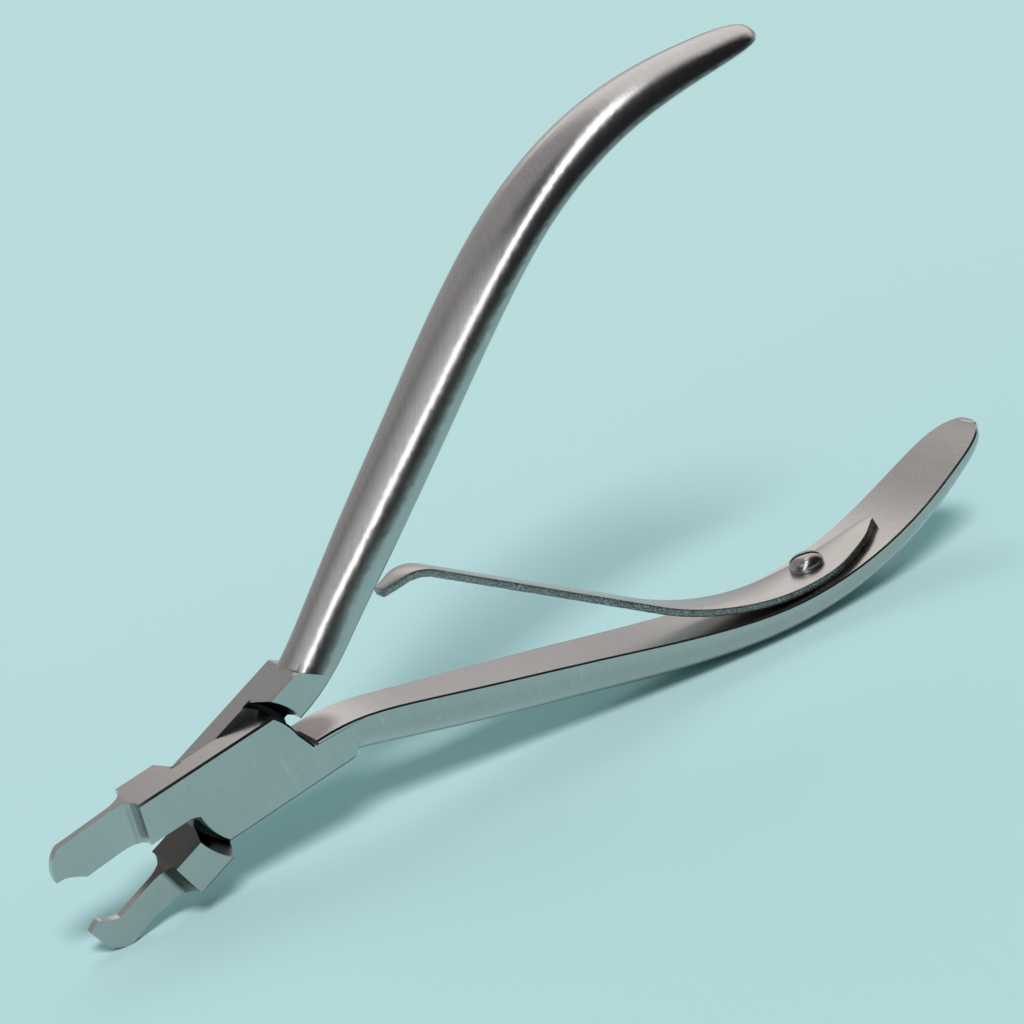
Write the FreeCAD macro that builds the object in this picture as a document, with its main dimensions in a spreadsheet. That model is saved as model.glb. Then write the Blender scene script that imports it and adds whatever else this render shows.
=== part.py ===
import FreeCAD, Part
import Sketcher
import math
import os

# Crown crimping pliers: two forged halves in a half-lap joint, a leaf spring on the lower handle,
# the screw that holds it and the screw of the joint. They stand on edge, as on a table: +X towards
# the handles, +Z up, Y along the joint's axis, origin on the floor under the middle.
#
# Each half is drawn closed and in its own frame: origin on the joint's axis at mid thickness,
# handle along +X and below it, beak along -X and above it, lap plate on the -Y side.
# The upper handle's half is the same drawing turned half a turn about X.

doc = FreeCAD.newDocument("crown_crimping_pliers")
Vector = FreeCAD.Vector

# Driving dimensions, in millimetres and degrees
dimensions = {
    # lap joint
    "jointThickness": 8.0,
    "jointHalfHeight": 4.75,
    "lapRadius": 7.15,
    "shoulderGap": 0.6,
    "shoulderFlare": 1.0,
    "lapClearance": 0.05,
    "edgeChamfer": 0.25,
    "notchReach": 0.91,
    "notchDepth": 0.87,
    "notchTop": 1.45,
    "notchBack": 0.2,
    "jawReach": 0.7,
    "upperJawFace": 0.1,
    "lowerJawFace": 0.45,
    "blockEndInner": 7.05,
    "blockEndOuter": 4.4,
    "blockEndDepth": 1.25,
    # beaks
    "bladeThickness": 1.3,
    "bladeFillet": 2.6,
    "beakLength": 23.6,
    "beakRoot": 12.6,
    "stepDrop": 0.1,
    "toothTip": 0.26,
    "toothDepth": 1.05,
    "recessFront": 1.3,
    "recessBack": 3.46,
    "recessDepth": 0.98,
    "recessLip": 0.25,
    "bumpTop": 0.9,
    "bumpHeight": 0.78,
    "bumpFront": 1.81,
    "bumpBack": 3.34,
    "tipBack": 2.2,
    "tipBackHeight": 4.35,
    "tipRound": 0.82,
    "tipMiddle": 3.05,
    "tipLean": 0.1,
    "tipFlat": 1.4,
    "lowerTipHeight": 4.05,
    "upperStepSlant": 10.4,
    "lowerStepSlant": 0.7,
    "faceStep": 0.7,
    "faceHeight": 0.8,
    "bumpSide": 0.55,
    "bumpHollow": 0.3,
    "bumpCrown": 0.02,
    "backStart": 15.9,
    "backHeight": 3.8,
    # joint screw
    "pivotDiameter": 4.0,
    "pivotDepth": 2.8,
    "pivotHeadDiameter": 6.6,
    "pivotHeadHeight": 1.3,
    "pivotClearance": 0.03,
    "threadClearance": 0.02,
    "slotWidth": 0.7,
    "slotDepth": 0.65,
    "slotTurn": 58.0,
    # handles: the line that their flat inner face follows
    "handleStart": 1.35,
    "handleInset": 0.42,
    "neckBend": 27.5,
    "neckTurn": 19.93,
    "gripRun": 42.54,
    "palmBend": 53.4,
    "palmTurn": 35.7,
    "heelRun": 11.3,
    "handleCorner": 0.2,
    # leaf spring
    "springThickness": 0.9,
    "springWidth": 8.4,
    "springTipWidth": 4.1,
    "springEndWidth": 1.4,
    "springWidest": 14.0,
    "springShift": 0.9,
    "springSwell": 0.75,
    "springSeat": 0.05,
    "springLift": 70.7,
    "springSeated": 9.6,
    "springBend": 37.7,
    "springTurn": 40.0,
    "springCurl": 4.72,
    "springCurlTurn": 41.5,
    "springTip": 3.1,
    "springTipGap": 1.5,
    # spring screw
    "screwPastLift": 1.95,
    "screwDiameter": 3.0,
    "screwDepth": 2.8,
    "screwHeadDiameter": 4.3,
    "screwRim": 0.95,
    "screwDome": 0.75,
    "screwHoleClearance": 0.1,
    # pose
    "openAngle": 16.1,
    "lean": 9.15,
    "shiftX": 0.0,
    "shiftZ": 0.0,
}

# Handle sections along the inner face: name, distance from the handle's start, width, depth
handleSections = [
    ("root", 0.0, 7.9, 4.0),
    ("shoulder", 2.7, 7.9, 4.2),
    ("neck", 5.6, 7.92, 4.55),
    ("throat", 12.0, 8.0, 4.9),
    ("flare", 20.4, 9.2, 5.1),
    ("grip", 35.0, 10.7, 5.1),
    ("palm", 52.0, 12.2, 4.75),
    ("swell", 62.0, 12.6, 4.4),
    ("heel", 77.0, 12.5, 4.1),
    ("taper", 85.0, 12.1, 3.7),
    ("nose", 91.0, 11.0, 3.2),
    ("bow", 95.0, 9.2, 2.65),
    ("tip", 97.6, 4.6, 1.8),
]
for name, along, width, depth in handleSections:
    dimensions[name + "Along"] = along
    dimensions[name + "Width"] = width
    dimensions[name + "Depth"] = depth

sheet = doc.addObject("Spreadsheet::Sheet", "sizes")
for row, (name, value) in enumerate(dimensions.items(), start=1):
    sheet.set("A%d" % row, name)
    sheet.set("B%d" % row, str(value))
    sheet.setAlias("B%d" % row, name)
doc.recompute()


def size(name):
    """A driving dimension as it stands in the sheet."""
    return float(sheet.get(name))


# Drawing helpers

def plane(body, role):
    """One of a body's own origin planes."""
    return [feature for feature in body.Origin.OriginFeatures if feature.Role == role][0]


def sketch(body, name, role, base=(0, 0, 0), axis=(0, 0, 1), angle=0.0):
    """A sketch on an origin plane, moved and turned in that plane's own coordinates."""
    drawing = body.newObject("Sketcher::SketchObject", name)
    drawing.AttachmentSupport = [(plane(body, role), "")]
    drawing.MapMode = "FlatFace"
    turn = FreeCAD.Rotation(Vector(*axis), angle)
    drawing.AttachmentOffset = FreeCAD.Placement(Vector(*base), turn)
    return drawing


def near_end(drawing, edge, point):
    """Which end of a sketch edge lies at a point: 1 its start, 2 its end."""
    return min((1, 2), key=lambda end: (drawing.getPoint(edge, end) - point).Length)


def close_loop(drawing, corners):
    """Draw a closed outline: (x, y) is a corner, (x, y, xMid, yMid) one reached by an arc."""
    edges = []
    for index, corner in enumerate(corners):
        start = Vector(corners[index - 1][0], corners[index - 1][1], 0)
        end = Vector(corner[0], corner[1], 0)
        if len(corner) == 4:
            curve = Part.Arc(start, Vector(corner[2], corner[3], 0), end)
        else:
            curve = Part.LineSegment(start, end)
        edges.append(drawing.addGeometry(curve, False))
    for index, edge in enumerate(edges):
        before = edges[index - 1]
        joint = Vector(corners[index - 1][0], corners[index - 1][1], 0)
        ends = near_end(drawing, before, joint), near_end(drawing, edge, joint)
        drawing.addConstraint(Sketcher.Constraint("Coincident", before, ends[0], edge, ends[1]))
    return edges


def bind(drawing, constraint, name, expression):
    """Add a dimension to a sketch and tie it to the sheet."""
    index = drawing.addConstraint(constraint)
    drawing.renameConstraint(index, name)
    drawing.setExpression("Constraints." + name, expression)


def circle(drawing, radius, expression):
    """A circle about the sketch's origin, its radius tied to the sheet."""
    edge = drawing.addGeometry(Part.Circle(Vector(0, 0, 0), Vector(0, 0, 1), radius), False)
    drawing.addConstraint(Sketcher.Constraint("Coincident", edge, 3, -1, 1))
    bind(drawing, Sketcher.Constraint("Radius", edge, radius), "radius", expression)


def on_circle(radius, angle):
    """A point of a circle about the origin, angle in degrees."""
    return (radius * math.cos(math.radians(angle)), radius * math.sin(math.radians(angle)))


def ahead(point, heading, distance):
    """The point a distance away along a heading in degrees."""
    turn = math.radians(heading)
    return (point[0] + distance * math.cos(turn), point[1] + distance * math.sin(turn))


def follow(point, heading, run, length=None):
    """Go along a run, whole or for a length: ("line", length) or ("arc", radius, turn)."""
    if run[0] == "line":
        return ahead(point, heading, run[1] if length is None else length), heading
    radius, turn = run[1], run[2]
    if length is not None:
        turn = math.copysign(math.degrees(length / radius), turn)
    side = math.copysign(90.0, turn)
    centre = ahead(point, heading + side, radius)
    return ahead(centre, heading + turn - side, radius), heading + turn


def run_length(run):
    return run[1] if run[0] == "line" else run[1] * math.radians(abs(run[2]))


def station(start, heading, runs, distance):
    """The point and heading at a distance along a track of runs."""
    point = start
    for run in runs[:-1]:
        if distance <= run_length(run):
            return follow(point, heading, run, distance)
        distance -= run_length(run)
        point, heading = follow(point, heading, run)
    return follow(point, heading, runs[-1], distance)


def track(start, heading, runs, offset):
    """Corners of a line a distance to the left of a track, for close_loop."""
    point = start
    corners = [ahead(point, heading + 90, offset)]
    for run in runs:
        middle, halfway = follow(point, heading, run, run_length(run) / 2)
        point, heading = follow(point, heading, run)
        corner = ahead(point, heading + 90, offset)
        if run[0] == "arc":
            corner += ahead(middle, halfway + 90, offset)
        corners.append(corner)
    return corners


# The line of a handle's inner face
lapRadius = size("lapRadius")
handleStart = (lapRadius + size("handleStart"), -size("handleInset"))
handleRuns = [
    ("arc", size("neckBend"), -size("neckTurn")),
    ("line", size("gripRun")),
    ("arc", size("palmBend"), size("palmTurn")),
    ("line", size("heelRun")),
]


def on_handle(distance):
    return station(handleStart, 0.0, handleRuns, distance)


halfThickness = size("jointThickness") / 2
halfHeight = size("jointHalfHeight")
beakLength = size("beakLength")
beakRoot = size("beakRoot")

# Beak outlines from the joint along the inner edge to the tip and back along the outer edge.
# The upper beak ends in a hooked tooth over a small recess.
upperBeak = [
    (-beakRoot, size("stepDrop")),
    (size("recessBack") - beakLength, -size("recessLip")),
    (size("recessFront") - beakLength, size("recessDepth"),
     (size("recessFront") + size("recessBack")) / 2 - beakLength, size("recessDepth") / 2),
    (size("toothTip") - beakLength, size("toothDepth")),
    (size("tipBack") - beakLength, size("tipBackHeight"), size("tipRound") - beakLength, size("tipMiddle")),
    (-beakRoot, halfHeight),
]

# The lower beak has a bump that comes into the recess, and a rounded back.
lowerBeak = [
    (-beakRoot, size("lowerJawFace")),
    (-beakRoot - size("faceStep"), size("faceHeight")),
    (size("bumpBack") - beakLength, size("faceHeight")),
    (size("bumpFront") - beakLength, -size("bumpSide"),
     (size("bumpBack") + size("bumpFront")) / 2 - beakLength, size("bumpHollow")),
    (size("bumpTop") - beakLength, -size("bumpHeight"),
     (size("bumpTop") + size("bumpFront")) / 2 - beakLength, -size("bumpHeight") - size("bumpCrown")),
    (-beakLength, -size("bumpSide")),
    (size("tipLean") - beakLength, size("tipFlat")),
    (size("tipBack") - beakLength, size("lowerTipHeight"), size("tipRound") - beakLength, size("tipMiddle")),
    (-size("backStart"), size("backHeight")),
    (-beakRoot, halfHeight),
]


def make_half(name, label, jawFace, beak, slant):
    """One half with its lap, beak and handle, without the screw holes."""
    body = doc.addObject("PartDesign::Body", name)
    body.Label = label

    # block and beak, outlined at full thickness
    cornerAngle = math.degrees(math.asin(halfHeight / lapRadius))
    notchAngle = math.degrees(math.asin(size("notchTop") / lapRadius))
    backAngle = 180 + math.degrees(math.asin(size("notchBack") / lapRadius))
    outline = sketch(body, name + "Outline", "XZ_Plane")
    corners = [
        on_circle(lapRadius, 180 + cornerAngle),
        on_circle(lapRadius, backAngle) + on_circle(lapRadius, (180 + cornerAngle + backAngle) / 2),
        (-lapRadius - size("jawReach"), jawFace),
    ] + beak + [
        on_circle(lapRadius, cornerAngle),
        on_circle(lapRadius, notchAngle) + on_circle(lapRadius, (cornerAngle + notchAngle) / 2),
        (lapRadius + size("notchReach"), -size("notchDepth")),
        (lapRadius + size("blockEndInner"), -size("blockEndDepth")),
        (lapRadius + size("blockEndOuter"), -halfHeight),
    ]
    close_loop(outline, corners)
    blank = body.newObject("PartDesign::Pad", name + "Blank")
    blank.Profile = outline
    blank.SideType = "Symmetric"
    blank.setExpression("Length", "sizes.jointThickness")
    doc.recompute()

    # the far half of the joint is turned away inside concave shoulders that flare to the outside
    lap = sketch(body, name + "Lap", "XY_Plane")
    shoulder = lapRadius + size("shoulderGap")
    flare = size("shoulderFlare")
    close_loop(lap, [
        (0, -size("lapClearance") / 2),
        (shoulder, -size("lapClearance") / 2),
        (shoulder, 0),
        (shoulder + flare, halfThickness),
        (shoulder + 2 * flare, 2 * halfThickness),
        (0, 2 * halfThickness),
    ])
    lapCut = body.newObject("PartDesign::Groove", name + "LapCut")
    lapCut.Profile = lap
    lapCut.ReferenceAxis = (lap, ["V_Axis"])
    lapCut.Angle = 360
    doc.recompute()

    # both sides of the beak are milled down to a thin blade with a round-cornered step
    milled = sketch(body, name + "Milled", "XY_Plane", (-beakRoot, 0, halfHeight / 2), (0, 1, 0), slant)
    half = size("bladeThickness") / 2
    fillet = size("bladeFillet")
    inFillet = fillet * (1 - math.sqrt(0.5))
    for side in (1, -1):
        close_loop(milled, [
            (0, side * (halfThickness + 1)),
            (0, side * (half + fillet)),
            (-fillet, side * half, -inFillet, side * (half + inFillet)),
            (-beakLength, side * half),
            (-beakLength, side * (halfThickness + 1)),
        ])
    blade = body.newObject("PartDesign::Pocket", name + "Blade")
    blade.Profile = milled
    blade.SideType = "Symmetric"
    blade.Length = 4 * halfHeight
    doc.recompute()

    # broken edges round the outside of the joint, down to the bottom of the notch
    notch = Vector(lapRadius + size("notchReach"), 0, -size("notchDepth"))
    edges = []
    for index, edge in enumerate(blade.Shape.Edges, start=1):
        ends = [vertex.Point for vertex in edge.Vertexes]
        if len(ends) < 2 or abs(ends[0].y - ends[1].y) > 0.001 or abs(abs(ends[0].y) - halfThickness) > 0.001:
            continue
        straight = all(abs(abs(end.z) - halfHeight) < 0.001 for end in ends)
        curved = isinstance(edge.Curve, Part.Circle) and abs(edge.Curve.Radius - lapRadius) < 0.001
        atNotch = any(math.hypot(end.x - notch.x, end.z - notch.z) < 0.001 for end in ends)
        if straight or curved or (atNotch and max(end.z for end in ends) > 0):
            edges.append("Edge%d" % index)
    chamfer = body.newObject("PartDesign::Chamfer", name + "Chamfer")
    chamfer.Base = (blade, edges)
    chamfer.setExpression("Size", "sizes.edgeChamfer")
    doc.recompute()

    # handle: a loft of flat-faced half ovals square to the inner face
    profiles = []
    for section, _, _, _ in handleSections:
        profiles.append(handle_section(body, name, section))
    doc.recompute()
    handle = body.newObject("PartDesign::AdditiveLoft", name + "Handle")
    handle.Profile = profiles[0]
    handle.Sections = profiles[1:]
    doc.recompute()
    return body


def handle_section(body, name, section):
    """A flat face with broken corners and a half-oval back, square to the handle's line."""
    (x, z), heading = on_handle(size(section + "Along"))
    width, depth = size(section + "Width") / 2, size(section + "Depth")
    corner = min(size("handleCorner"), depth / 5)
    drawing = sketch(body, name + section.capitalize(), "YZ_Plane", (0, z, x), (1, 0, 0), -heading)
    face = drawing.addGeometry(Part.LineSegment(Vector(corner - width, 0, 0), Vector(width - corner, 0, 0)))
    oval = 0.5523  # handle length of the curve that draws a quarter oval
    bulge = depth - corner
    quarters = []
    for side, faceEnd in ((1, 2), (-1, 1)):
        rim = Vector(side * width, -corner, 0)
        broken = drawing.addGeometry(Part.LineSegment(Vector(side * (width - corner), 0, 0), rim))
        curve = Part.BezierCurve()
        curve.setPoles([
            rim,
            Vector(side * width, -corner - oval * bulge, 0),
            Vector(side * oval * width, -depth, 0),
            Vector(0, -depth, 0),
        ])
        quarter = drawing.addGeometry(curve.toBSpline())
        drawing.addConstraint(Sketcher.Constraint("Coincident", face, faceEnd, broken, 1))
        drawing.addConstraint(Sketcher.Constraint("Coincident", broken, 2, quarter, 1))
        quarters.append(quarter)
    drawing.addConstraint(Sketcher.Constraint("Coincident", quarters[0], 2, quarters[1], 2))
    bind(drawing, Sketcher.Constraint("DistanceX", quarters[1], 1, quarters[0], 1, 2 * width),
         "width", "sizes.%sWidth" % section)
    bind(drawing, Sketcher.Constraint("DistanceY", quarters[0], 2, face, 2, depth),
         "depth", "sizes.%sDepth" % section)
    return drawing


lowerHalf = make_half("LowerHandleHalf", "lower_handle_half", size("upperJawFace"), upperBeak, size("upperStepSlant"))
upperHalf = make_half("UpperHandleHalf", "upper_handle_half", size("lowerJawFace"), lowerBeak, size("lowerStepSlant"))



# Joint screw: flush in the upper handle's half, threaded into a blind hole in the lower one's

def cut_bore(body, name, radius, expression, depth):
    """A hole along the joint's axis in the lap plate, from the lap face outwards."""
    bore = sketch(body, name + "Bore", "XZ_Plane", (0, 0, size("lapClearance") / 2))
    circle(bore, radius, expression)
    cut = body.newObject("PartDesign::Pocket", name + "BoreCut")
    cut.Profile = bore
    cut.Reversed = True
    cut.Length = depth
    doc.recompute()


pivotRadius = size("pivotDiameter") / 2
headRadius = size("pivotHeadDiameter") / 2
headHeight = size("pivotHeadHeight")
running = size("pivotClearance")
cut_bore(lowerHalf, "Thread", pivotRadius + size("threadClearance"),
         "sizes.pivotDiameter / 2 + sizes.threadClearance", size("pivotDepth"))
cut_bore(upperHalf, "Running", pivotRadius + running,
         "sizes.pivotDiameter / 2 + sizes.pivotClearance", halfThickness)

countersink = sketch(upperHalf, "Countersink", "XY_Plane")
close_loop(countersink, [
    (0, -halfThickness),
    (headRadius + running, -halfThickness),
    (pivotRadius + running, headHeight - halfThickness),
    (0, headHeight - halfThickness),
])
countersinkCut = upperHalf.newObject("PartDesign::Groove", "CountersinkCut")
countersinkCut.Profile = countersink
countersinkCut.ReferenceAxis = (countersink, ["V_Axis"])
countersinkCut.Angle = 360
doc.recompute()

pivotScrew = doc.addObject("PartDesign::Body", "PivotScrew")
pivotScrew.Label = "pivot_screw"
pivotProfile = sketch(pivotScrew, "PivotProfile", "XY_Plane")
pivotTop = halfThickness - size("lapClearance")
headSlope = (headRadius - pivotRadius) / headHeight
close_loop(pivotProfile, [
    (0, pivotTop),
    (headRadius - headSlope * size("lapClearance"), pivotTop),
    (pivotRadius, halfThickness - headHeight),
    (pivotRadius, -size("pivotDepth")),
    (0, -size("pivotDepth")),
])
pivotSolid = pivotScrew.newObject("PartDesign::Revolution", "PivotSolid")
pivotSolid.Profile = pivotProfile
pivotSolid.ReferenceAxis = (pivotProfile, ["V_Axis"])
pivotSolid.Angle = 360
doc.recompute()


def cut_slot(body, name, role, base, turn, length):
    """A driver slot across a screw's head, sunk below the sketch plane."""
    slot = sketch(body, name, role, base, turn.Axis, math.degrees(turn.Angle))
    half = size("slotWidth") / 2
    close_loop(slot, [(-half, -length), (half, -length), (half, length), (-half, length)])
    cut = body.newObject("PartDesign::Pocket", name + "Cut")
    cut.Profile = slot
    cut.SideType = "Symmetric"
    cut.setExpression("Length", "2 * sizes.slotDepth")
    doc.recompute()


slotTurn = FreeCAD.Rotation(Vector(0, 0, 1), size("slotTurn"))
cut_slot(pivotScrew, "PivotSlot", "XZ_Plane", (0, 0, -pivotTop), slotTurn, headRadius + 1)

# Leaf spring: seated along the palm of the lower handle, then bent up to the upper handle

springLift = size("springLift")
springBase = springLift + size("springSeated")
springThickness = size("springThickness")
seat = size("springSeat")
(baseX, baseZ), baseHeading = on_handle(springBase)
springStart = ahead((baseX, baseZ), baseHeading + 90, seat)


def spring_line(run, offset):
    """Corners of the spring's side, its straight run of a given length."""
    runs = [
        ("arc", size("palmBend") - seat, -math.degrees(size("springSeated") / size("palmBend"))),
        ("arc", size("springBend"), -size("springTurn")),
        ("line", run),
        ("arc", size("springCurl"), size("springCurlTurn")),
        ("line", size("springTip")),
    ]
    return track(springStart, baseHeading + 180, runs, offset)


def tip_gap(run):
    """How far the spring's tip stands off the grip of the opened upper handle."""
    (x, z), heading = on_handle(run_length(handleRuns[0]) + size("gripRun") / 2)
    opened = FreeCAD.Rotation(Vector(0, 1, 0), -size("openAngle"))
    grip = opened.multVec(Vector(x, 0, -z))
    away = opened.multVec(FreeCAD.Rotation(Vector(0, 1, 0), heading).multVec(Vector(0, 0, -1)))
    tip = spring_line(run, -springThickness)[-1]
    return (Vector(tip[0], 0, tip[1]) - grip).dot(away)


# the straight run is as long as the gap at the tip leaves it
trial = size("gripRun")
springRun = trial * (tip_gap(0) - size("springTipGap")) / (tip_gap(0) - tip_gap(trial))
print("spring's straight run", round(springRun, 3))
under = spring_line(springRun, 0)
over = spring_line(springRun, -springThickness)

leafSpring = doc.addObject("PartDesign::Body", "LeafSpring")
leafSpring.Label = "leaf_spring"
springProfile = sketch(leafSpring, "SpringProfile", "XZ_Plane")
back = []
for index in range(len(over) - 1, 0, -1):
    middle = over[index][2:]
    back.append(over[index - 1][:2] + middle)
close_loop(springProfile, under + [over[-1][:2]] + back)
strip = leafSpring.newObject("PartDesign::Pad", "SpringStrip")
strip.Profile = springProfile
strip.SideType = "Symmetric"
strip.setExpression("Length", "sizes.springWidth + 2 * sizes.springShift")
doc.recompute()

# in plan the strip narrows from beside the screw to the curled tip, and to a rounded end at its base
springHalf = size("springWidth") / 2
shift = size("springShift")
tipX = min(corner[0] for corner in over)
ends = sketch(leafSpring, "SpringEnds", "XY_Plane")
for side in (1, -1):
    tipY = side * size("springTipWidth") / 2 - shift
    wideY = side * springHalf - shift
    endY = side * size("springEndWidth") / 2 - shift / 3
    outside = side * (springHalf + shift + 1)
    middleX = springStart[0] - size("springWidest") / 3
    close_loop(ends, [
        (tipX - 1, outside),
        (tipX - 1, tipY),
        (tipX + size("springTip"), tipY),
        (springStart[0] - size("springWidest"), wideY),
        (springStart[0], endY, middleX, (wideY + endY) / 2 + side * size("springSwell")),
        (springStart[0] + 1, endY),
        (springStart[0] + 1, outside),
    ])
trimmed = leafSpring.newObject("PartDesign::Pocket", "SpringTrim")
trimmed.Profile = ends
trimmed.SideType = "Symmetric"
trimmed.Length = 4 * springBase
doc.recompute()

# Spring screw: square to the handle's face, through the spring and into a blind threaded hole

(screwX, screwZ), screwHeading = on_handle(springLift - size("screwPastLift"))
screwRadius = size("screwDiameter") / 2
screwDepth = size("screwDepth")
stackHeight = seat + springThickness


def screw_hole(body, name, radius, expression, below, above):
    """A round hole about the spring screw's axis."""
    hole = sketch(body, name, "XY_Plane", (screwX, 0, screwZ), (0, 1, 0), -screwHeading)
    circle(hole, radius, expression)
    cut = body.newObject("PartDesign::Pocket", name + "Cut")
    cut.Profile = hole
    cut.SideType = "Two sides"
    cut.Length = below
    cut.Length2 = above
    doc.recompute()


screw_hole(lowerHalf, "SpringThread", screwRadius + size("threadClearance"),
           "sizes.screwDiameter / 2 + sizes.threadClearance", screwDepth, 1)
screw_hole(leafSpring, "SpringHole", screwRadius + size("screwHoleClearance"),
           "sizes.screwDiameter / 2 + sizes.screwHoleClearance", 1, stackHeight + 1)

springScrew = doc.addObject("PartDesign::Body", "SpringScrew")
springScrew.Label = "spring_screw"
screwProfile = sketch(springScrew, "ScrewProfile", "XZ_Plane", (screwX, screwZ, 0), (0, 0, 1), screwHeading)
domeRadius = size("screwHeadDiameter") / 2
sag = size("springBend") - math.sqrt(size("springBend") ** 2 - domeRadius ** 2)
headBase = stackHeight + sag + seat
rimTop = headBase + size("screwRim")
domeTop = headBase + size("screwDome")
dome = domeTop - rimTop
ballRadius = (domeRadius ** 2 + dome ** 2) / (2 * dome)
ballAngle = math.asin(domeRadius / ballRadius)
close_loop(screwProfile, [
    (0, -screwDepth),
    (screwRadius, -screwDepth),
    (screwRadius, headBase),
    (domeRadius, headBase),
    (domeRadius, rimTop),
    (0, domeTop, ballRadius * math.sin(ballAngle / 2), domeTop - ballRadius * (1 - math.cos(ballAngle / 2))),
])
screwSolid = springScrew.newObject("PartDesign::Revolution", "ScrewSolid")
screwSolid.Profile = screwProfile
screwSolid.ReferenceAxis = (screwProfile, ["V_Axis"])
screwSolid.Angle = 360
doc.recompute()
slotBase = ahead((screwX, screwZ), screwHeading + 90, domeTop)
cut_slot(springScrew, "ScrewSlot", "XY_Plane", (slotBase[0], 0, slotBase[1]),
         FreeCAD.Rotation(Vector(0, 1, 0), -screwHeading) * slotTurn, domeRadius + 1)

# Pose: opened by the spring, and leant so that the lower handle and the lower beak both touch the floor

def extent(body, angle, roll=0):
    """The box of a half rolled about its handle and then turned about the joint's axis."""
    shape = body.Shape.copy()
    turn = FreeCAD.Rotation(Vector(0, 1, 0), -angle) * FreeCAD.Rotation(Vector(1, 0, 0), roll)
    shape.Placement = FreeCAD.Placement(Vector(), turn)
    return shape.optimalBoundingBox(False, False)


def both_extents(lean):
    return extent(lowerHalf, lean), extent(upperHalf, lean + size("openAngle"), 180)


def lift(lean):
    """How much higher the lowest point of the lower handle is than that of the lower beak."""
    lower, upper = both_extents(lean)
    return lower.ZMin - upper.ZMin


lean = size("lean")
step = 0.5
for _ in range(4):
    slope = (lift(lean + step) - lift(lean)) / step
    lean -= lift(lean) / slope
lower, upper = both_extents(lean)
pose = {
    "lean": lean,
    "shiftX": -(min(lower.XMin, upper.XMin) + max(lower.XMax, upper.XMax)) / 2,
    "shiftZ": -min(lower.ZMin, upper.ZMin),
}
for name, value in pose.items():
    sheet.set(sheet.getCellFromAlias(name), str(round(value, 5)))
doc.recompute()
print("pose", {name: round(value, 3) for name, value in pose.items()})

pivotPoint = "vector(sizes.shiftX; 0; sizes.shiftZ)"
for body in (lowerHalf, leafSpring, springScrew):
    body.setExpression("Placement", "placement(%s; rotationy(-sizes.lean))" % pivotPoint)
pivotScrew.setExpression("Placement", "placement(%s; rotationy(-sizes.lean))" % pivotPoint)
upperHalf.setExpression(
    "Placement", "placement(%s; rotationy(-sizes.lean - sizes.openAngle) * rotationx(180))" % pivotPoint)
doc.recompute()

# Check every object, then write each piece
for item in doc.Objects:
    if "Invalid" in item.State or "Error" in item.State:
        raise RuntimeError("%s failed: %s" % (item.Name, item.State))
os.makedirs("parts", exist_ok=True)
for body in (lowerHalf, upperHalf, pivotScrew, leafSpring, springScrew):
    shape = body.Shape
    if shape.isNull() or not shape.isValid() or len(shape.Solids) != 1:
        raise RuntimeError("%s is not one valid solid" % body.Label)
    shape.exportStep("parts/%s.step" % body.Label)
    print(body.Label, round(shape.Volume, 1), shape.BoundBox)
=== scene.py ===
import math

import bmesh
import bpy
from mathutils import Matrix, Vector, noise


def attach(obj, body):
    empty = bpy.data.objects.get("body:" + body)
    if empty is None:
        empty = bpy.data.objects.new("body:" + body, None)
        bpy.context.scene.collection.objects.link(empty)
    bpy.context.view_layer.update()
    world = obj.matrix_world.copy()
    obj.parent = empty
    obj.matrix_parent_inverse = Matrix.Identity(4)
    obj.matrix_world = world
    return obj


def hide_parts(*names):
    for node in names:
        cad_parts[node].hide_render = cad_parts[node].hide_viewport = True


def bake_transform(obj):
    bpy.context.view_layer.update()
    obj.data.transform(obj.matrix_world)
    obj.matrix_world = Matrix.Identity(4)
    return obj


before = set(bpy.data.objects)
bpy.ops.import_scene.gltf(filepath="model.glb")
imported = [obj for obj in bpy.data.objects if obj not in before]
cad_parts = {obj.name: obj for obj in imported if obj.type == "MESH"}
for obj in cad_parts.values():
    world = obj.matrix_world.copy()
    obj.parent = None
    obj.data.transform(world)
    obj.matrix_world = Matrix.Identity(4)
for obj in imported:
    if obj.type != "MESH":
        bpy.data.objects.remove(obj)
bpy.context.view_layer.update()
print("frame loaded:", sorted(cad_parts))

mm = 0.001
perMetre = 1000.0  # millimetres in a metre, for lengths inside the materials


# small helpers for node trees

def addNode(tree, kind, **values):
    node = tree.nodes.new(kind)
    for key, value in values.items():
        setattr(node, key, value)
    return node


def feed(tree, value, socket):  # plain values are set, outputs of other nodes are linked
    if isinstance(value, (int, float, tuple)):
        socket.default_value = value
    else:
        tree.links.new(value, socket)


def mathNode(tree, operation, a, b=None, c=None, clamp=False):
    node = addNode(tree, "ShaderNodeMath", operation=operation, use_clamp=clamp)
    for slot, value in enumerate((a, b, c)):
        if value is not None:
            feed(tree, value, node.inputs[slot])
    return node.outputs[0]


def vectorNode(tree, operation, *values):
    node = addNode(tree, "ShaderNodeVectorMath", operation=operation)
    for slot, value in enumerate(values):
        feed(tree, value, node.inputs[slot])
    return node.outputs["Value" if operation in ("DOT_PRODUCT", "LENGTH") else "Vector"]


def splitVector(tree, vector):
    node = addNode(tree, "ShaderNodeSeparateXYZ")
    tree.links.new(vector, node.inputs[0])
    return node.outputs


def mapRange(tree, value, low, high, toLow=0.0, toHigh=1.0, smooth=False):
    node = addNode(tree, "ShaderNodeMapRange")
    if smooth:
        node.interpolation_type = "SMOOTHSTEP"
    tree.links.new(value, node.inputs["Value"])
    limits = {"From Min": low, "From Max": high, "To Min": toLow, "To Max": toHigh}
    for name, number in limits.items():
        node.inputs[name].default_value = number
    return node.outputs["Result"]


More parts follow.
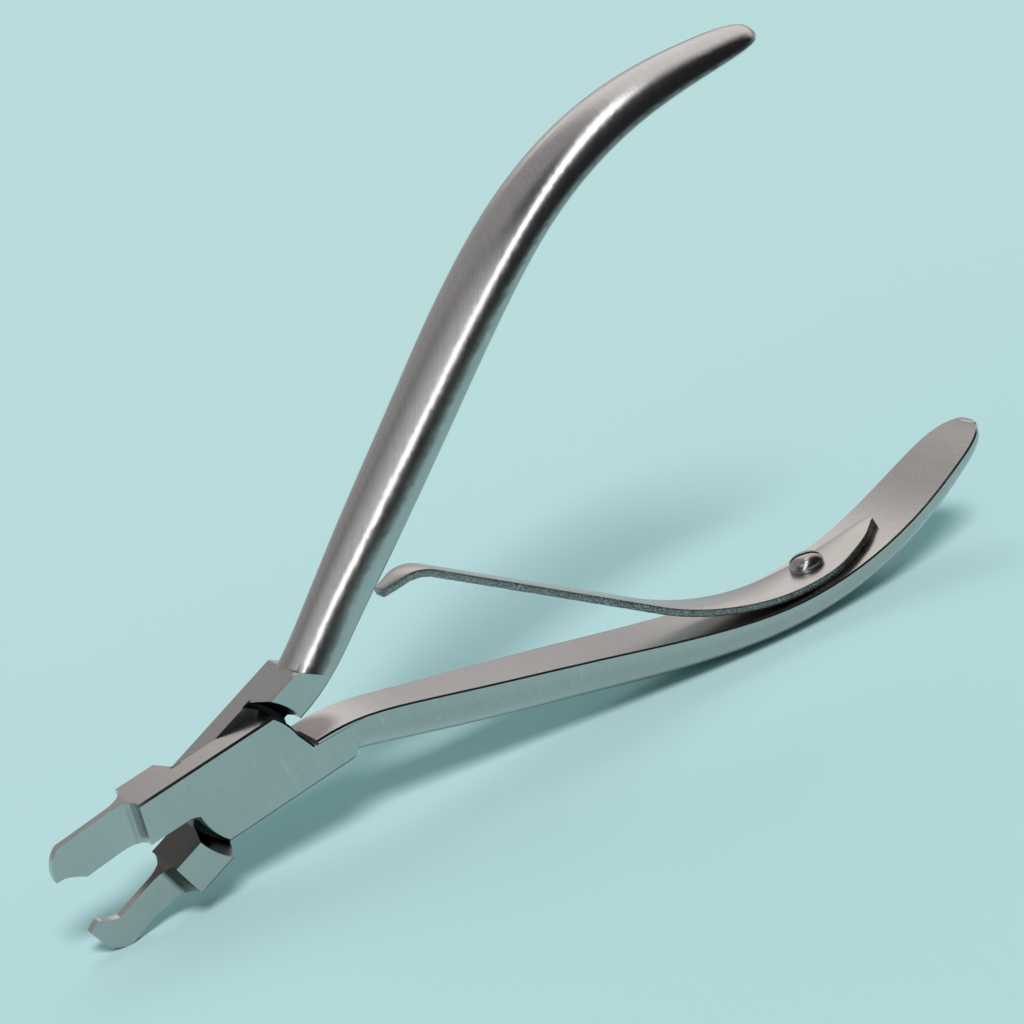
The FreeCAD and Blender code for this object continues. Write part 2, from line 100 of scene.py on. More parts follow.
def mixColour(tree, factor, first, second):
    node = addNode(tree, "ShaderNodeMix", data_type="RGBA")
    for name, value in (("Factor", factor), ("A", first), ("B", second)):
        feed(tree, value, [s for s in node.inputs if s.name == name and s.enabled][0])
    return [s for s in node.outputs if s.enabled][0]


def addNoise(tree, vector, scale, detail, roughness):
    node = addNode(tree, "ShaderNodeTexNoise")
    for name, number in (("Scale", scale), ("Detail", detail), ("Roughness", roughness)):
        node.inputs[name].default_value = number
    tree.links.new(vector, node.inputs["Vector"])
    return node.outputs["Fac"]


def newGroup(name, inputs, outputs):  # an input with no number is a vector
    group = bpy.data.node_groups.new(name, "ShaderNodeTree")
    for label, number in inputs.items():
        kind = "NodeSocketVector" if number is None else "NodeSocketFloat"
        socket = group.interface.new_socket(name=label, in_out="INPUT", socket_type=kind)
        if number is not None:
            socket.default_value = number
    for label in outputs:
        group.interface.new_socket(name=label, in_out="OUTPUT", socket_type="NodeSocketFloat")
    source = group.nodes.new("NodeGroupInput")
    sink = group.nodes.new("NodeGroupOutput")
    return group, source.outputs, sink.inputs


def useGroup(tree, group, values):
    node = addNode(tree, "ShaderNodeGroup", node_tree=group)
    for name, value in values.items():
        feed(tree, value, node.inputs[name])
    return node.outputs


# brushing: fine lines that all run one way, from noise that is squeezed across them
brushShape = {"fineNoise": (1.0, 3.0, 0.7), "broadNoise": (0.14, 2.0, 0.5)}  # scale, detail, roughness


def buildBrushing(shape):
    group, given, made = newGroup(
        "brushing",
        {"Vector": None, "Lines per mm": 12.0, "Line Length mm": 6.0, "Coarse Share": 0.2}, ["Lines"])
    across = mathNode(group, "MULTIPLY", given["Lines per mm"], perMetre)
    along = mathNode(group, "DIVIDE", perMetre, given["Line Length mm"])
    squeeze = addNode(group, "ShaderNodeCombineXYZ")
    for slot, share in enumerate((across, along, along)):
        group.links.new(share, squeeze.inputs[slot])
    scaled = vectorNode(group, "MULTIPLY", given["Vector"], squeeze.outputs[0])
    lines = addNode(group, "ShaderNodeMix", data_type="FLOAT")
    group.links.new(given["Coarse Share"], lines.inputs["Factor"])
    group.links.new(addNoise(group, scaled, *shape["fineNoise"]), lines.inputs["A"])
    group.links.new(addNoise(group, scaled, *shape["broadNoise"]), lines.inputs["B"])
    group.links.new(lines.outputs["Result"], made["Lines"])
    return group


# handling marks: a few long thin scratches, small pits, and soft clouds where hands have dulled the polish
marksShape = {
    "scratchTurn": (0.4, 0.9, 0.3), "scratchSqueeze": (1400.0, 1400.0, 90.0),
    "scratchNoise": (1.0, 1.0, 0.4), "scratchCrest": (0.66, 0.74),
    "patchNoise": (260.0, 1.0, 0.5), "patchRange": (0.5, 0.62),
    "pitNoise": (2600.0, 2.0, 0.6), "pitRange": (0.36, 0.28),
    "cloudNoise": (120.0, 4.0, 0.55),
}


def buildMarks(shape):
    group, given, made = newGroup(
        "handlingMarks", {"Vector": None, "Scratch Amount": 0.5, "Pit Amount": 0.5},
        ["Scratches", "Pits", "Clouds"])
    place = given["Vector"]
    lean = addNode(group, "ShaderNodeMapping")
    lean.inputs["Rotation"].default_value = shape["scratchTurn"]
    lean.inputs["Scale"].default_value = shape["scratchSqueeze"]
    group.links.new(place, lean.inputs["Vector"])
    thin = addNoise(group, lean.outputs[0], *shape["scratchNoise"])
    crest = mapRange(group, thin, *shape["scratchCrest"])
    patch = mapRange(group, addNoise(group, place, *shape["patchNoise"]), *shape["patchRange"])
    scratch = mathNode(group, "MULTIPLY", crest, patch)
    grain = mapRange(group, addNoise(group, place, *shape["pitNoise"]), *shape["pitRange"])
    group.links.new(mathNode(group, "MULTIPLY", scratch, given["Scratch Amount"]), made["Scratches"])
    group.links.new(mathNode(group, "MULTIPLY", grain, given["Pit Amount"]), made["Pits"])
    group.links.new(addNoise(group, place, *shape["cloudNoise"]), made["Clouds"])
    return group


# painted shade at the joint: black in the narrow ring round the lap plates and along the ground edges of
# the joint, and a dark spot on the inner faces beside it where the other half shades them; lengths are in
# millimetres
shadeMaskShape = {
    "plateFacing": (0.75, 0.9),                                   # faces that lie flat on a plate
    "rimFacing": (0.80, 0.92), "rimBand": 0.12,                   # the round wall of a plate
    "wallFacing": (-0.5, -0.75), "wallReach": 2.6,                # the hollow wall of the other half
    "floorStart": (-0.15, 0.0), "floorEnd": (0.7, 1.0), "floorDepth": 0.3,   # the gap between the two
    "edgeFacing": 0.707, "edgeBand": (0.04, 0.08), "edgeReach": (12.0, 14.0),
    "spotFade": (0.55, 1.0),
}


def buildShadeMasks(shape):
    group, given, made = newGroup(
        "jointShadeMasks",
        {"Vector": None, "Normal": None, "Joint Axis": None, "Rim Radius mm": 7.15, "Rim Depth mm": 3.7,
         "Wall Depth mm": 2.4, "Spot": None, "Spot Reach mm": 4.0},
        ["Ring", "Spot Shade", "Edges"])
    sideways = mathNode(group, "ABSOLUTE", splitVector(group, given["Normal"])["Y"])
    offset = vectorNode(group, "SUBTRACT", given["Vector"], given["Joint Axis"])
    apart = splitVector(group, offset)
    square = mathNode(group, "MULTIPLY_ADD", apart["X"], apart["X"],
                      mathNode(group, "MULTIPLY", apart["Z"], apart["Z"]))
    radius = mathNode(group, "MULTIPLY", mathNode(group, "SQRT", square), perMetre)
    depth = mathNode(group, "MULTIPLY", mathNode(group, "ABSOLUTE", apart["Y"]), perMetre)
    level = vectorNode(group, "MULTIPLY", offset, (1.0, 0.0, 1.0))
    facing = vectorNode(group, "DOT_PRODUCT", level, given["Normal"])
    outward = mathNode(group, "DIVIDE", mathNode(group, "MULTIPLY", facing, perMetre), radius)
    past = mathNode(group, "SUBTRACT", radius, given["Rim Radius mm"])

    # painted shade: black on the walls and floor of the gap round the lap plate, where little light gets in
    nearRim = mathNode(group, "LESS_THAN", mathNode(group, "ABSOLUTE", past), shape["rimBand"])
    onRim = mathNode(group, "MULTIPLY", mapRange(group, outward, *shape["rimFacing"]), nearRim)
    inRim = mathNode(group, "SUBTRACT", given["Rim Depth mm"], depth, clamp=True)
    nearWall = mathNode(group, "SUBTRACT", shape["wallReach"], past, clamp=True)
    onWall = mathNode(group, "MULTIPLY", mapRange(group, outward, *shape["wallFacing"]), nearWall)
    inWall = mathNode(group, "SUBTRACT", given["Wall Depth mm"], depth, clamp=True)
    besidePlate = mathNode(group, "MULTIPLY", mapRange(group, past, *shape["floorStart"]),
                           mapRange(group, past, *shape["floorEnd"], 1.0, 0.0))
    gapFloor = mathNode(group, "MULTIPLY", besidePlate,
                        mathNode(group, "LESS_THAN", depth, shape["floorDepth"]))
    walls = mathNode(group, "MAXIMUM", mathNode(group, "MULTIPLY", onRim, inRim),
                     mathNode(group, "MULTIPLY", onWall, inWall))
    group.links.new(mathNode(group, "MAXIMUM", walls, gapFloor), made["Ring"])

    # painted dark reflection: black lines on the slanted chamfers near the joint
    slant = mathNode(group, "ABSOLUTE", mathNode(group, "SUBTRACT", sideways, shape["edgeFacing"]))
    edges = mathNode(group, "MULTIPLY", mapRange(group, slant, *shape["edgeBand"], 1.0, 0.0),
                     mapRange(group, radius, *shape["edgeReach"], 1.0, 0.0))
    group.links.new(edges, made["Edges"])

    # painted shade: a dark spot on the flat faces round the spot, where the other half shades them
    away = vectorNode(group, "LENGTH", vectorNode(group, "SUBTRACT", given["Vector"], given["Spot"]))
    share = mathNode(group, "DIVIDE", mathNode(group, "MULTIPLY", away, perMetre), given["Spot Reach mm"])
    stain = mathNode(group, "MULTIPLY", mapRange(group, share, *shape["spotFade"], 1.0, 0.0, smooth=True),
                     mapRange(group, sideways, *shape["plateFacing"], 1.0, 0.0))
    group.links.new(stain, made["Spot Shade"])
    return group


brushing = buildBrushing(brushShape)
handlingMarks = buildMarks(marksShape)
jointShadeMasks = buildShadeMasks(shadeMaskShape)
print("node groups ready")

# satin steel: one base look, and what differs on each piece
steelLook = {
    "turn": (0.0, math.radians(14.0), 0.0),
    "linesPerMm": 11.0, "lineLength": 7.0, "coarse": 0.12, "toneFrom": 0.3, "toneTo": 0.7,
    "darkLine": (0.455, 0.45, 0.445, 1), "lightLine": (0.535, 0.525, 0.515, 1),
    "cloud": 0.3, "cloudFrom": 0.35, "cloudTo": 0.65,
    "cloudColour": (0.45, 0.44, 0.43, 1), "cloudRough": 0.10,
    "scratches": 0.25, "scratchColour": (0.70, 0.69, 0.68, 1),
    "pits": 0.25, "pitColour": (0.24, 0.23, 0.22, 1),
    "roughLow": 0.17, "roughHigh": 0.22, "roughFrom": 0.25, "roughTo": 0.75,
    "bump": 0.3, "bumpDepth": 0.00001,
}
# both halves carry painted shade at the joint: a dark spot by the notch or on the lower jaw, a black ring
# and black edge lines
lowerLook = dict(
    steelLook, jointAxis=(-0.040412, 0.0, 0.012738),
    spot=(-0.0322, 0.0, 0.0140), spotReach=5.2, stain=0.85, stainColour=(0.14, 0.12, 0.11, 1),
    blackShadeColour=(0.012, 0.012, 0.012, 1), edgeShade=0.85)
upperLook = dict(
    lowerLook, turn=(0.0, math.radians(-30.0), 0.0),
    spot=(-0.0500, 0.0, 0.0081), spotReach=7.5, stain=1.0, stainColour=(0.070, 0.065, 0.061, 1))
stripLook = dict(
    steelLook, turn=(0.0, 0.0, math.radians(90.0)), lineLength=4.0, roughLow=0.26, roughHigh=0.36,
    darkLine=(0.47, 0.455, 0.44, 1), lightLine=(0.62, 0.60, 0.585, 1))
# the sheared edge: very dark, and the light lines come up as small bright flecks, painted glints
shearedLook = dict(
    steelLook, turn=(0.0, 0.0, 0.0), linesPerMm=6.0, lineLength=0.17, coarse=0.0,
    toneFrom=0.47, toneTo=0.72, darkLine=(0.09, 0.087, 0.085, 1), lightLine=(0.8, 0.8, 0.8, 1),
    pits=1.0, roughLow=0.30, roughHigh=0.50, bump=1.0)
screwLook = dict(
    steelLook, linesPerMm=5.0, lineLength=1.2, coarse=0.4, roughLow=0.17, roughHigh=0.28,
    darkLine=(0.30, 0.295, 0.29, 1), lightLine=(0.52, 0.51, 0.50, 1))


# brushed lines tint, roughen and groove the metal, and the marks and the joint's painted shade lie on top
def steel(name, look):
    material = bpy.data.materials.new(name)
    material.use_nodes = True
    tree = material.node_tree
    tree.nodes.clear()
    out = addNode(tree, "ShaderNodeOutputMaterial")
    shader = addNode(tree, "ShaderNodeBsdfPrincipled")
    tree.links.new(shader.outputs[0], out.inputs[0])
    shader.inputs["Metallic"].default_value = 1.0
    place = addNode(tree, "ShaderNodeTexCoord").outputs
    turn = addNode(tree, "ShaderNodeMapping")
    turn.inputs["Rotation"].default_value = look["turn"]
    tree.links.new(place["Object"], turn.inputs["Vector"])
    lines = useGroup(tree, brushing, {
        "Vector": turn.outputs[0], "Lines per mm": look["linesPerMm"],
        "Line Length mm": look["lineLength"], "Coarse Share": look["coarse"]})["Lines"]
    marks = useGroup(tree, handlingMarks, {
        "Vector": place["Object"], "Scratch Amount": look["scratches"], "Pit Amount": look["pits"]})

    tone = mapRange(tree, lines, look["toneFrom"], look["toneTo"])
    colour = mixColour(tree, tone, look["darkLine"], look["lightLine"])
    cloudy = mapRange(tree, marks["Clouds"], look["cloudFrom"], look["cloudTo"], 0.0, look["cloud"])
    colour = mixColour(tree, cloudy, colour, look["cloudColour"])
    colour = mixColour(tree, marks["Scratches"], colour, look["scratchColour"])
    colour = mixColour(tree, marks["Pits"], colour, look["pitColour"])
    # painted shade and painted dark reflection at the joint: a dark spot, a black ring and black edge lines
    if "spot" in look:
        paintedShade = useGroup(tree, jointShadeMasks, {
            "Vector": place["Object"], "Normal": place["Normal"], "Joint Axis": look["jointAxis"],
            "Spot": look["spot"], "Spot Reach mm": look["spotReach"]})
        spotShaded = mathNode(tree, "MULTIPLY", paintedShade["Spot Shade"], look["stain"])
        colour = mixColour(tree, spotShaded, colour, look["stainColour"])
        shaded = mathNode(tree, "MULTIPLY", paintedShade["Edges"], look["edgeShade"])
        colour = mixColour(tree, shaded, colour, look["blackShadeColour"])
        colour = mixColour(tree, paintedShade["Ring"], colour, look["blackShadeColour"])
    tree.links.new(colour, shader.inputs["Base Color"])

    rough = mapRange(tree, lines, look["roughFrom"], look["roughTo"], look["roughLow"], look["roughHigh"])
    rough = mathNode(tree, "MULTIPLY_ADD", cloudy, look["cloudRough"], rough)
    tree.links.new(rough, shader.inputs["Roughness"])
    dents = mathNode(tree, "ADD", marks["Scratches"], marks["Pits"])
    bump = addNode(tree, "ShaderNodeBump")
    bump.inputs["Strength"].default_value = look["bump"]
    bump.inputs["Distance"].default_value = look["bumpDepth"]
    tree.links.new(mathNode(tree, "SUBTRACT", lines, dents), bump.inputs["Height"])
    tree.links.new(bump.outputs[0], shader.inputs["Normal"])
    return material


lowerSteel = steel("brushedSteelLower", lowerLook)
upperSteel = steel("brushedSteelUpper", upperLook)
stripSteel = steel("springSteel", stripLook)
shearedSteel = steel("shearedEdge", shearedLook)
screwSteel = steel("screwSteel", screwLook)


def dress(node, material):
    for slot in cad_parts[node].material_slots:
        slot.material = material


dress("lower_handle_half", lowerSteel)
dress("upper_handle_half", upperSteel)
dress("pivot_screw", screwSteel)
print("steel on the halves and the screws")


# helpers for the meshes

def smoothFaces(data, sharpFrom=None):
    for face in data.polygons:
        face.use_smooth = True
    if sharpFrom is not None:
        data.set_sharp_from_angle(angle=math.radians(sharpFrom))


def addPiece(name, mesh, sharpFrom=None):
    bmesh.ops.recalc_face_normals(mesh, faces=mesh.faces)
    data = bpy.data.meshes.new(name)
    mesh.to_mesh(data)
    mesh.free()
    smoothFaces(data, sharpFrom)
    piece = bpy.data.objects.new(name, data)
    bpy.context.scene.collection.objects.link(piece)
    return piece


# handle tips: each handle ends in a rounded nose that grows from the end face of the forging
tipLook = {
    "lower": {"node": "lower_handle_half", "body": "lower_half", "outward": (0.9085, 0.0, 0.4179),
              "reach": 0.55, "palmSide": 1},
    "upper": {"node": "upper_handle_half", "body": "upper_half", "outward": (0.9869, 0.0, 0.1611),
              "reach": 0.5, "palmSide": -1},
}
noseLook = {"rings": 8, "crown": 0.06, "endFace": 0.02, "sharpFrom": 50}


def buildTip(name, look, nose, material):
    outward = Vector(look["outward"]).normalized()
    inner = Vector((-outward.z, 0.0, outward.x)) * look["palmSide"]
    corners = [vertex.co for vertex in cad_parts[look["node"]].data.vertices]
    far = max(corner.dot(outward) for corner in corners)
    rim = {}
    for corner in corners:
        if corner.dot(outward) > far - nose["endFace"] * mm:
            rim[(round(corner.y, 6), round(corner.dot(inner), 6))] = corner
    flat = max(height for _, height in rim)
    middle = sum(height for _, height in rim) / len(rim)
    order = sorted(rim, key=lambda spot: math.atan2(spot[1] - middle, spot[0]))
    mesh = bmesh.new()
    rings = []
    for k in range(nose["rings"] + 1):
        swing = math.pi / 2 * k / nose["rings"]
        narrow = nose["crown"] + (1 - nose["crown"]) * math.cos(swing)
        front = outward * (far + look["reach"] * mm * math.sin(swing))
        ring = []
        for y, height in order:
            dropped = flat + (height - flat) * narrow
            ring.append(mesh.verts.new(front + inner * dropped + Vector((0.0, y * narrow, 0.0))))
        rings.append(ring)
    for this, following in zip(rings, rings[1:]):
        for k in range(len(order)):
            after = (k + 1) % len(order)
            mesh.faces.new((this[k], this[after], following[after], following[k]))
    mesh.faces.new(rings[-1])
    piece = addPiece(name + "TipNose", mesh, nose["sharpFrom"])
    piece.data.materials.append(material)
    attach(piece, look["body"])


buildTip("lower", tipLook["lower"], noseLook, lowerSteel)
buildTip("upper", tipLook["upper"], noseLook, upperSteel)
print("handle tips rounded")

# leaf spring: a sheared strip, from its pointed base past the screw to the curl at the upper handle;
# lengths are in millimetres, and the edges are half widths at distances along the strip
springLook = {
    "start": (47.106, 7.435), "heading": 199.27,
    "runs": (("arc", 53.35, -10.30), ("arc", 37.7, -40.0), ("line", 29.291, 0), ("arc", 4.72, 41.5),
             ("line", 3.1, 0)),
    "thickness": 0.9, "edgeRound": 0.13, "step": 0.4, "from": 0.6,
    "nearEdge": ((0.6, -0.5), (1.2, -0.8), (1.8, -1.25), (3.4, -2.35), (5.5, -3.3), (9.7, -4.7),
                 (14.0, -5.05), (20.0, -4.95), (27.0, -4.35), (45.0, -3.8), (62.9, -3.2), (69.9, -2.85),
                 (71.8, -2.6)),
    "farEdge": ((0.6, 0.1), (0.95, 0.5), (1.4, 0.95), (2.56, 1.6), (5.9, 2.35), (10.0, 2.9), (14.0, 3.2),
                (27.0, 2.9), (45.0, 2.3), (66.5, 1.45), (68.7, 1.1), (70.2, 0.2), (71.8, -0.7)),
    "wobble": 0.05, "wobbleNoise": (1.7, 3.1), "burr": 0.05, "burrNoise": (2.3, 9.4),
    "freeFrom": (34.3, 0.0, 5.2), "freeTo": (-15.4, 0.0, 26.1),
}
shearedSides = (4, 5, 6, 10, 11, 0)  # the sides of the strip's section that the shear has cut
burrCorner = 8


def runLength(kind, size, turn):
    return size if kind == "line" else size * abs(math.radians(turn))


def trackAt(look, distance):
    x, z = look["start"]
    heading = math.radians(look["heading"])
    for kind, size, turn in look["runs"]:
        part = min(runLength(kind, size, turn), distance)
        if kind == "line":
            x, z = x + math.cos(heading) * part, z + math.sin(heading) * part
        else:
            swing = math.copysign(part / size, turn)
            chord = 2 * size * math.sin(abs(swing) / 2)
            x, z = x + math.cos(heading + swing / 2) * chord, z + math.sin(heading + swing / 2) * chord
            heading += swing
        distance -= part
        if distance <= 0:
            break
    return x, z, heading


def edgeAt(stations, distance):  # a smooth line through the stations
    last = len(stations) - 1
    k = max(index for index in range(last) if stations[index][0] <= distance or index == 0)
    (s0, y0), (s1, y1) = stations[k], stations[k + 1]
    before, after = stations[max(0, k - 1)], stations[min(last, k + 2)]
    slope0 = (y1 - before[1]) / (s1 - before[0])
    slope1 = (after[1] - y0) / (after[0] - s0)
    t, span = (distance - s0) / (s1 - s0), s1 - s0
    return ((2 * t ** 3 - 3 * t ** 2 + 1) * y0 + (t ** 3 - 2 * t ** 2 + t) * span * slope0
            + (3 * t ** 2 - 2 * t ** 3) * y1 + (t ** 3 - t ** 2) * span * slope1)


def unevenness(settings, distance):
    pitch, row = settings
    return noise.noise(Vector((distance * pitch, row, 0.0)))


def stripSection(look, distance, total):
    corner = look["edgeRound"]
    end = min(distance - look["from"], total - distance)
    inset = corner - math.sqrt(max(0.0, corner ** 2 - (corner - end) ** 2)) if end < corner else 0.0
    rough = look["wobble"] * unevenness(look["wobbleNoise"], distance)
    near = edgeAt(look["nearEdge"], distance) + rough + inset
    far = edgeAt(look["farEdge"], distance) - inset
    low, high = inset, look["thickness"] - inset
    centres = ((far - corner, high - corner, 0), (near + corner, high - corner, 90),
               (near + corner, low + corner, 180), (far - corner, low + corner, 270))
    outline = []
    for cy, ch, first in centres:
        for k in range(3):
            a = math.radians(first + 45 * k)
            outline.append((cy + corner * math.cos(a), ch + corner * math.sin(a)))
    y, h = outline[burrCorner]  # the burr that the shear leaves along the lower near edge
    outline[burrCorner] = (y, h - look["burr"] * (0.5 + unevenness(look["burrNoise"], distance)))
    return outline


def buildSpring(look):
    total = sum(runLength(*run) for run in look["runs"])
    corner = look["edgeRound"]
    first = look["from"]
    run = total - first - 2 * corner
    count = round(run / look["step"])
    stops = [first, first + corner * 0.3, first + corner]
    stops += [first + corner + run * k / count for k in range(1, count + 1)]
    stops += [total - corner * 0.3, total]
    mesh = bmesh.new()
    rings = []
    for distance in stops:
        x, z, heading = trackAt(look, distance)
        ring = []
        for y, h in stripSection(look, distance, total):
            ring.append(mesh.verts.new(
                ((x + math.sin(heading) * h) * mm, y * mm, (z - math.cos(heading) * h) * mm)))
        rings.append(ring)
    sides = len(rings[0])
    for this, following in zip(rings, rings[1:]):
        for k in range(sides):
            after = (k + 1) % sides
            face = mesh.faces.new((this[k], this[after], following[after], following[k]))
            face.material_index = 1 if k in shearedSides else 0
    for cap in (list(reversed(rings[0])), rings[-1]):
        mesh.faces.new(cap).material_index = 1
    return addPiece("leafSpring", mesh)


spring = buildSpring(springLook)
spring.data.materials.append(stripSteel)
spring.data.materials.append(shearedSteel)
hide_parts("leaf_spring")
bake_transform(spring)
print("leaf spring built")

# spring screw: a turned round head with a slot across it, and its shank through the strip;
# the outline is radius and height in millimetres from the middle of the head down to the shank's end
screwHeadLook = {
    "along": 11.55, "seatGap": 0.01, "slotTurn": -32.3, "slotWidth": 0.62, "slotFloor": 0.95,
    "cutterLength": 6, "cutterHeight": 2.0, "steps": 72, "sharpFrom": 40,
    "outline": ((0.0, 1.72), (0.55, 1.70), (1.05, 1.62), (1.5, 1.45), (1.85, 1.18), (2.10, 0.85),
                (2.22, 0.50), (2.22, 0.2), (2.12, 0.03), (1.9, 0.0), (1.45, 0.0), (1.4, -0.1),
                (1.4, -2.6), (0.0, -2.6)),
}


def slotCutter(look):
    cutter = bmesh.new()
    middle = look["slotFloor"] + look["cutterHeight"] / 2
    size = (look["cutterLength"] * mm, look["slotWidth"] * mm, look["cutterHeight"] * mm, 1)
    bmesh.ops.create_cube(cutter, size=1.0, matrix=Matrix.Rotation(math.radians(look["slotTurn"]), 4, "Z")
                          @ Matrix.Translation((0, 0, middle * mm)) @ Matrix.Diagonal(size))
    data = bpy.data.meshes.new("slotCutter")
    cutter.to_mesh(data)
    cutter.free()
    knife = bpy.data.objects.new("slotCutter", data)
    bpy.context.scene.collection.objects.link(knife)
    return knife


def buildScrew(look, strip):
    mesh = bmesh.new()
    rings = []
    for r, h in look["outline"]:
        count = 1 if r == 0.0 else look["steps"]
        ring = []
        for k in range(count):
            a = 2 * math.pi * k / count
            ring.append(mesh.verts.new((r * math.cos(a) * mm, r * math.sin(a) * mm, h * mm)))
        rings.append(ring)
    for upper, lower in zip(rings, rings[1:]):
        for k in range(look["steps"]):
            following = (k + 1) % look["steps"]
            if len(upper) == 1:
                mesh.faces.new((upper[0], lower[k], lower[following]))
            elif len(lower) == 1:
                mesh.faces.new((upper[k], lower[0], upper[following]))
            else:
                mesh.faces.new((upper[k], lower[k], lower[following], upper[following]))
    piece = addPiece("springScrewHead", mesh)
    knife = slotCutter(look)
    cut = piece.modifiers.new("slot", "BOOLEAN")
    cut.operation, cut.object, cut.solver = "DIFFERENCE", knife, "EXACT"
    bpy.context.view_layer.update()
    shaped = bpy.data.meshes.new_from_object(piece.evaluated_get(bpy.context.evaluated_depsgraph_get()))
    piece.modifiers.clear()
    piece.data = shaped
    bpy.data.objects.remove(knife)
    smoothFaces(shaped, look["sharpFrom"])
    x, z, heading = trackAt(strip, look["along"])
    rise = strip["thickness"] + look["seatGap"]
    seat = Vector(((x + math.sin(heading) * rise) * mm, 0.0, (z - math.cos(heading) * rise) * mm))
    upright = Matrix.Rotation(heading - math.pi, 4, "Y").inverted()
    shaped.transform(Matrix.Translation(seat) @ upright)
    return piece


screw = buildScrew(screwHeadLook, springLook)
screw.data.materials.clear()
screw.data.materials.append(screwSteel)
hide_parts("spring_screw")
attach(screw, "lower_half")
print("spring screw built")

# floor: a smooth pale sheet, a little deeper in colour towards the camera
floorLook = {
    "size": 6.0, "drop": 0.00002, "roughness": 0.8, "gloss": 0.1,
    "near": (0.44, 0.675, 0.69, 1), "far": (0.475, 0.695, 0.705, 1), "fadeFrom": -0.10, "fadeTo": 0.16,
    "grainNoise": (900.0, 3.0, 0.6), "grainRange": (0.3, 0.7), "grain": 0.025,
}


def buildFloor(look):
    data = bpy.data.meshes.new("floor")
    s = look["size"]
    data.from_pydata([(-s, -s, 0), (s, -s, 0), (s, s, 0), (-s, s, 0)], [], [(0, 1, 2, 3)])
    floor = bpy.data.objects.new("floor", data)
    bpy.context.scene.collection.objects.link(floor)
    floor.location.z = -look["drop"]
    material = bpy.data.materials.new("paleFloor")
    material.use_nodes = True
    tree = material.node_tree
    shader = tree.nodes["Principled BSDF"]
    shader.inputs["Roughness"].default_value = look["roughness"]
    shader.inputs["Specular IOR Level"].default_value = look["gloss"]
    place = addNode(tree, "ShaderNodeTexCoord").outputs["Object"]
    away = mapRange(tree, splitVector(tree, place)["Y"], look["fadeFrom"], look["fadeTo"], smooth=True)
    speck = mapRange(tree, addNoise(tree, place, *look["grainNoise"]), *look["grainRange"],
                     -look["grain"], look["grain"])
    shade = mathNode(tree, "ADD", away, speck, clamp=True)
    tree.links.new(mixColour(tree, shade, look["near"], look["far"]), shader.inputs["Base Color"])
    data.materials.append(material)


buildFloor(floorLook)

# lamps: a soft key light that casts the shadows, and a weak one from behind
lampLook = {
    "key": {"from": (-0.12, -0.63, 0.76), "strength": 2.85, "softness": 0.34, "colour": (1.0, 0.87, 0.865)},
    "back": {"from": (0.25, 0.60, 0.76), "strength": 0.5, "softness": 0.6, "colour": (1.0, 0.97, 0.96)},
}


def addLamp(name, look):
    lamp = bpy.data.lights.new(name, "SUN")
    lamp.energy = look["strength"]
    lamp.angle = look["softness"]
    lamp.color = look["colour"]
    holder = bpy.data.objects.new(name, lamp)
    bpy.context.scene.collection.objects.link(holder)
    holder.rotation_euler = (-Vector(look["from"])).to_track_quat("-Z", "Y").to_euler()
    holder.visible_glossy = False  # the steel sees the soft box in the room instead


for name, look in lampLook.items():
    addLamp(name, look)

# room: what the steel reflects, painted by direction; each pair is where a part starts and where it is full
roomLook = {
    "front": (0.022, 0.022, 0.024, 1),
    "apron": (0.14, 0.20, 0.20, 1), "apronTop": (0.08, 0.24),
    "back": (1.08, 1.03, 1.0, 1), "backDepth": (-0.05, 0.45),
    "corner": (0.42, 0.41, 0.41, 1), "litSide": (0.04, 0.26), "litRise": (0.12, 0.36),
    "overhead": (0.85, 0.85, 0.85, 1), "overFar": (0.30, 0.30, 0.30, 1),
    "overSide": (0.3, 0.6), "overRise": (0.45, 0.65), "overDepth": (0.45, -0.40),
    "box": (3.2, 3.2, 3.2, 1), "boxAt": (-0.5, -0.6, 0.63),
    "boxAlong": (0.557, 0.340, 0.758), "boxAcross": (-0.669, 0.730, 0.164),
    "boxLength": 0.95, "boxWidth": 0.105, "boxBend": 0.25, "boxFullLength": 0.9, "boxFullWidth": 0.85,
    "dome": (0.16, 0.27, 0.27, 1), "shown": (0.50, 0.73, 0.74, 1),
}


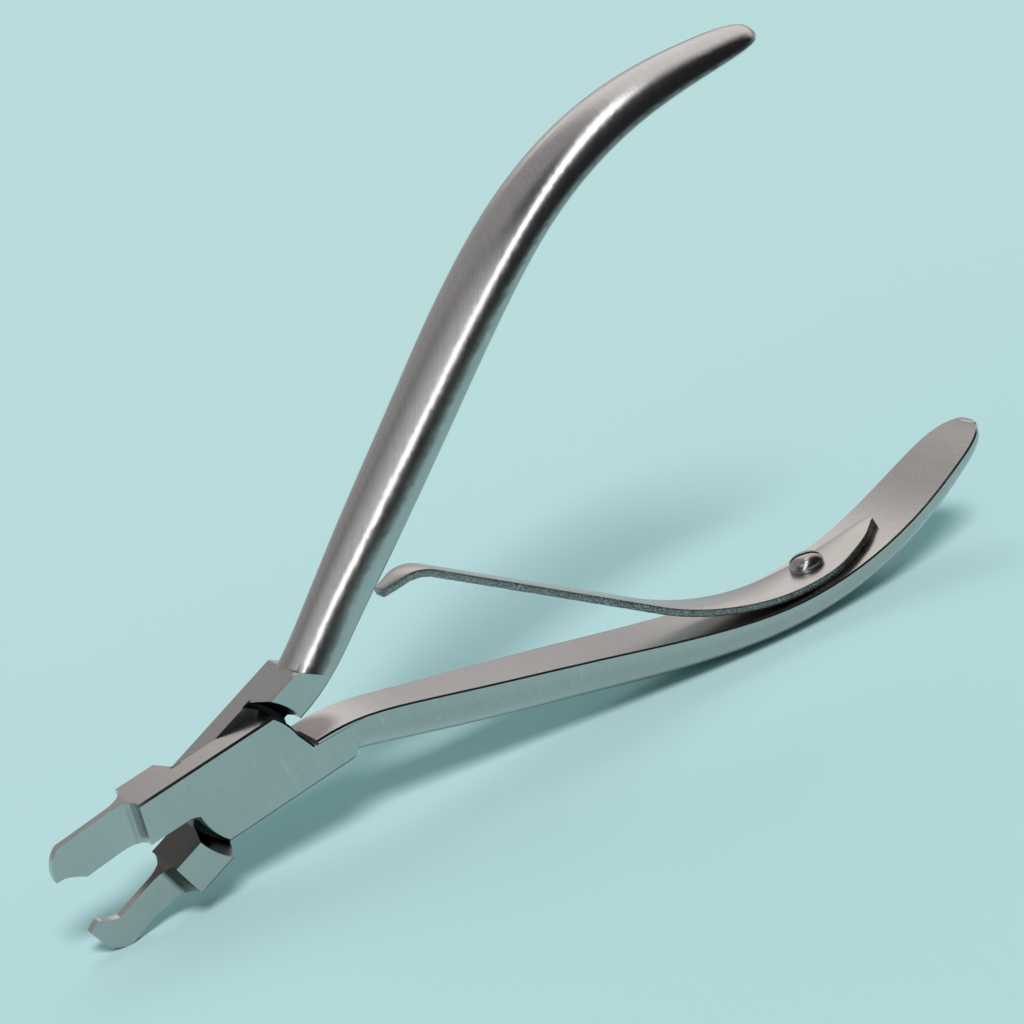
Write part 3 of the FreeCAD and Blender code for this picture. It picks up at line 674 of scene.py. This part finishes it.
def buildRoom(look):
    world = bpy.data.worlds.new("studio")
    bpy.context.scene.world = world
    world.use_nodes = True
    tree = world.node_tree
    direction = addNode(tree, "ShaderNodeTexCoord").outputs["Generated"]
    split = splitVector(tree, direction)

    # the dark front with its low apron, and the light wall behind with its dull corner
    behind = mapRange(tree, split["Y"], *look["backDepth"], smooth=True)
    lit = mathNode(tree, "MULTIPLY", mapRange(tree, split["X"], *look["litSide"], smooth=True),
                   mapRange(tree, split["Z"], *look["litRise"], smooth=True))
    wall = mixColour(tree, lit, look["corner"], look["back"])
    low = mapRange(tree, split["Z"], *look["apronTop"], 1.0, 0.0, smooth=True)
    room = mixColour(tree, behind, mixColour(tree, low, look["front"], look["apron"]), wall)

    # the grey overhead on the left
    left = mathNode(tree, "MULTIPLY", split["X"], -1.0)
    above = mathNode(tree, "MULTIPLY", mapRange(tree, left, *look["overSide"], smooth=True),
                     mapRange(tree, split["Z"], *look["overRise"], smooth=True))
    nearer = mapRange(tree, split["Y"], *look["overDepth"])
    room = mixColour(tree, above, room, mixColour(tree, nearer, look["overFar"], look["overhead"]))

    # the long soft box, bent a little along its length
    along = vectorNode(tree, "DOT_PRODUCT", direction, look["boxAlong"])
    bent = mathNode(tree, "MULTIPLY", mathNode(tree, "MULTIPLY", along, along), look["boxBend"])
    across = vectorNode(tree, "DOT_PRODUCT", direction, look["boxAcross"])
    aside = mathNode(tree, "ABSOLUTE", mathNode(tree, "SUBTRACT", across, bent))
    fullWidth = look["boxWidth"] * look["boxFullWidth"]
    fullLength = look["boxLength"] * look["boxFullLength"]
    box = mathNode(tree, "MULTIPLY", mapRange(tree, aside, look["boxWidth"], fullWidth),
                   mapRange(tree, mathNode(tree, "ABSOLUTE", along), look["boxLength"], fullLength))
    facing = vectorNode(tree, "DOT_PRODUCT", direction, look["boxAt"])
    onBoxSide = mathNode(tree, "GREATER_THAN", facing, 0.0)
    room = mixColour(tree, mathNode(tree, "MULTIPLY", box, onBoxSide), room, look["box"])

    # dull surfaces are lit by a plain dome, and the camera sees a pale backdrop
    path = addNode(tree, "ShaderNodeLightPath").outputs
    room = mixColour(tree, path["Is Diffuse Ray"], room, look["dome"])
    room = mixColour(tree, path["Is Camera Ray"], room, look["shown"])
    tree.links.new(room, tree.nodes["Background"].inputs["Color"])


buildRoom(roomLook)

# camera: fitted to the photograph
cameraLook = {
    "place": (-0.11449597, -0.26235906, 0.11189408),
    "right": (0.8445546836, -0.4581774836, -0.2771295363),
    "up": (0.3731664659, 0.1324417623, 0.9182624725),
    "back": (-0.3840236648, -0.8789383215, 0.2828307830),
    "lens": 91.40625, "sensor": 36.0, "clipStart": 0.01, "clipEnd": 20.0,
}


def addCamera(look):
    lens = bpy.data.cameras.new("camera")
    lens.lens = look["lens"]
    lens.sensor_width = look["sensor"]
    lens.clip_start = look["clipStart"]
    lens.clip_end = look["clipEnd"]
    camera = bpy.data.objects.new("camera", lens)
    bpy.context.scene.collection.objects.link(camera)
    turn = Matrix((look["right"], look["up"], look["back"])).transposed().to_4x4()
    camera.matrix_world = Matrix.Translation(look["place"]) @ turn
    bpy.context.scene.camera = camera


addCamera(cameraLook)
bpy.context.scene.view_settings.view_transform = "Standard"
print("floor, light and camera placed")
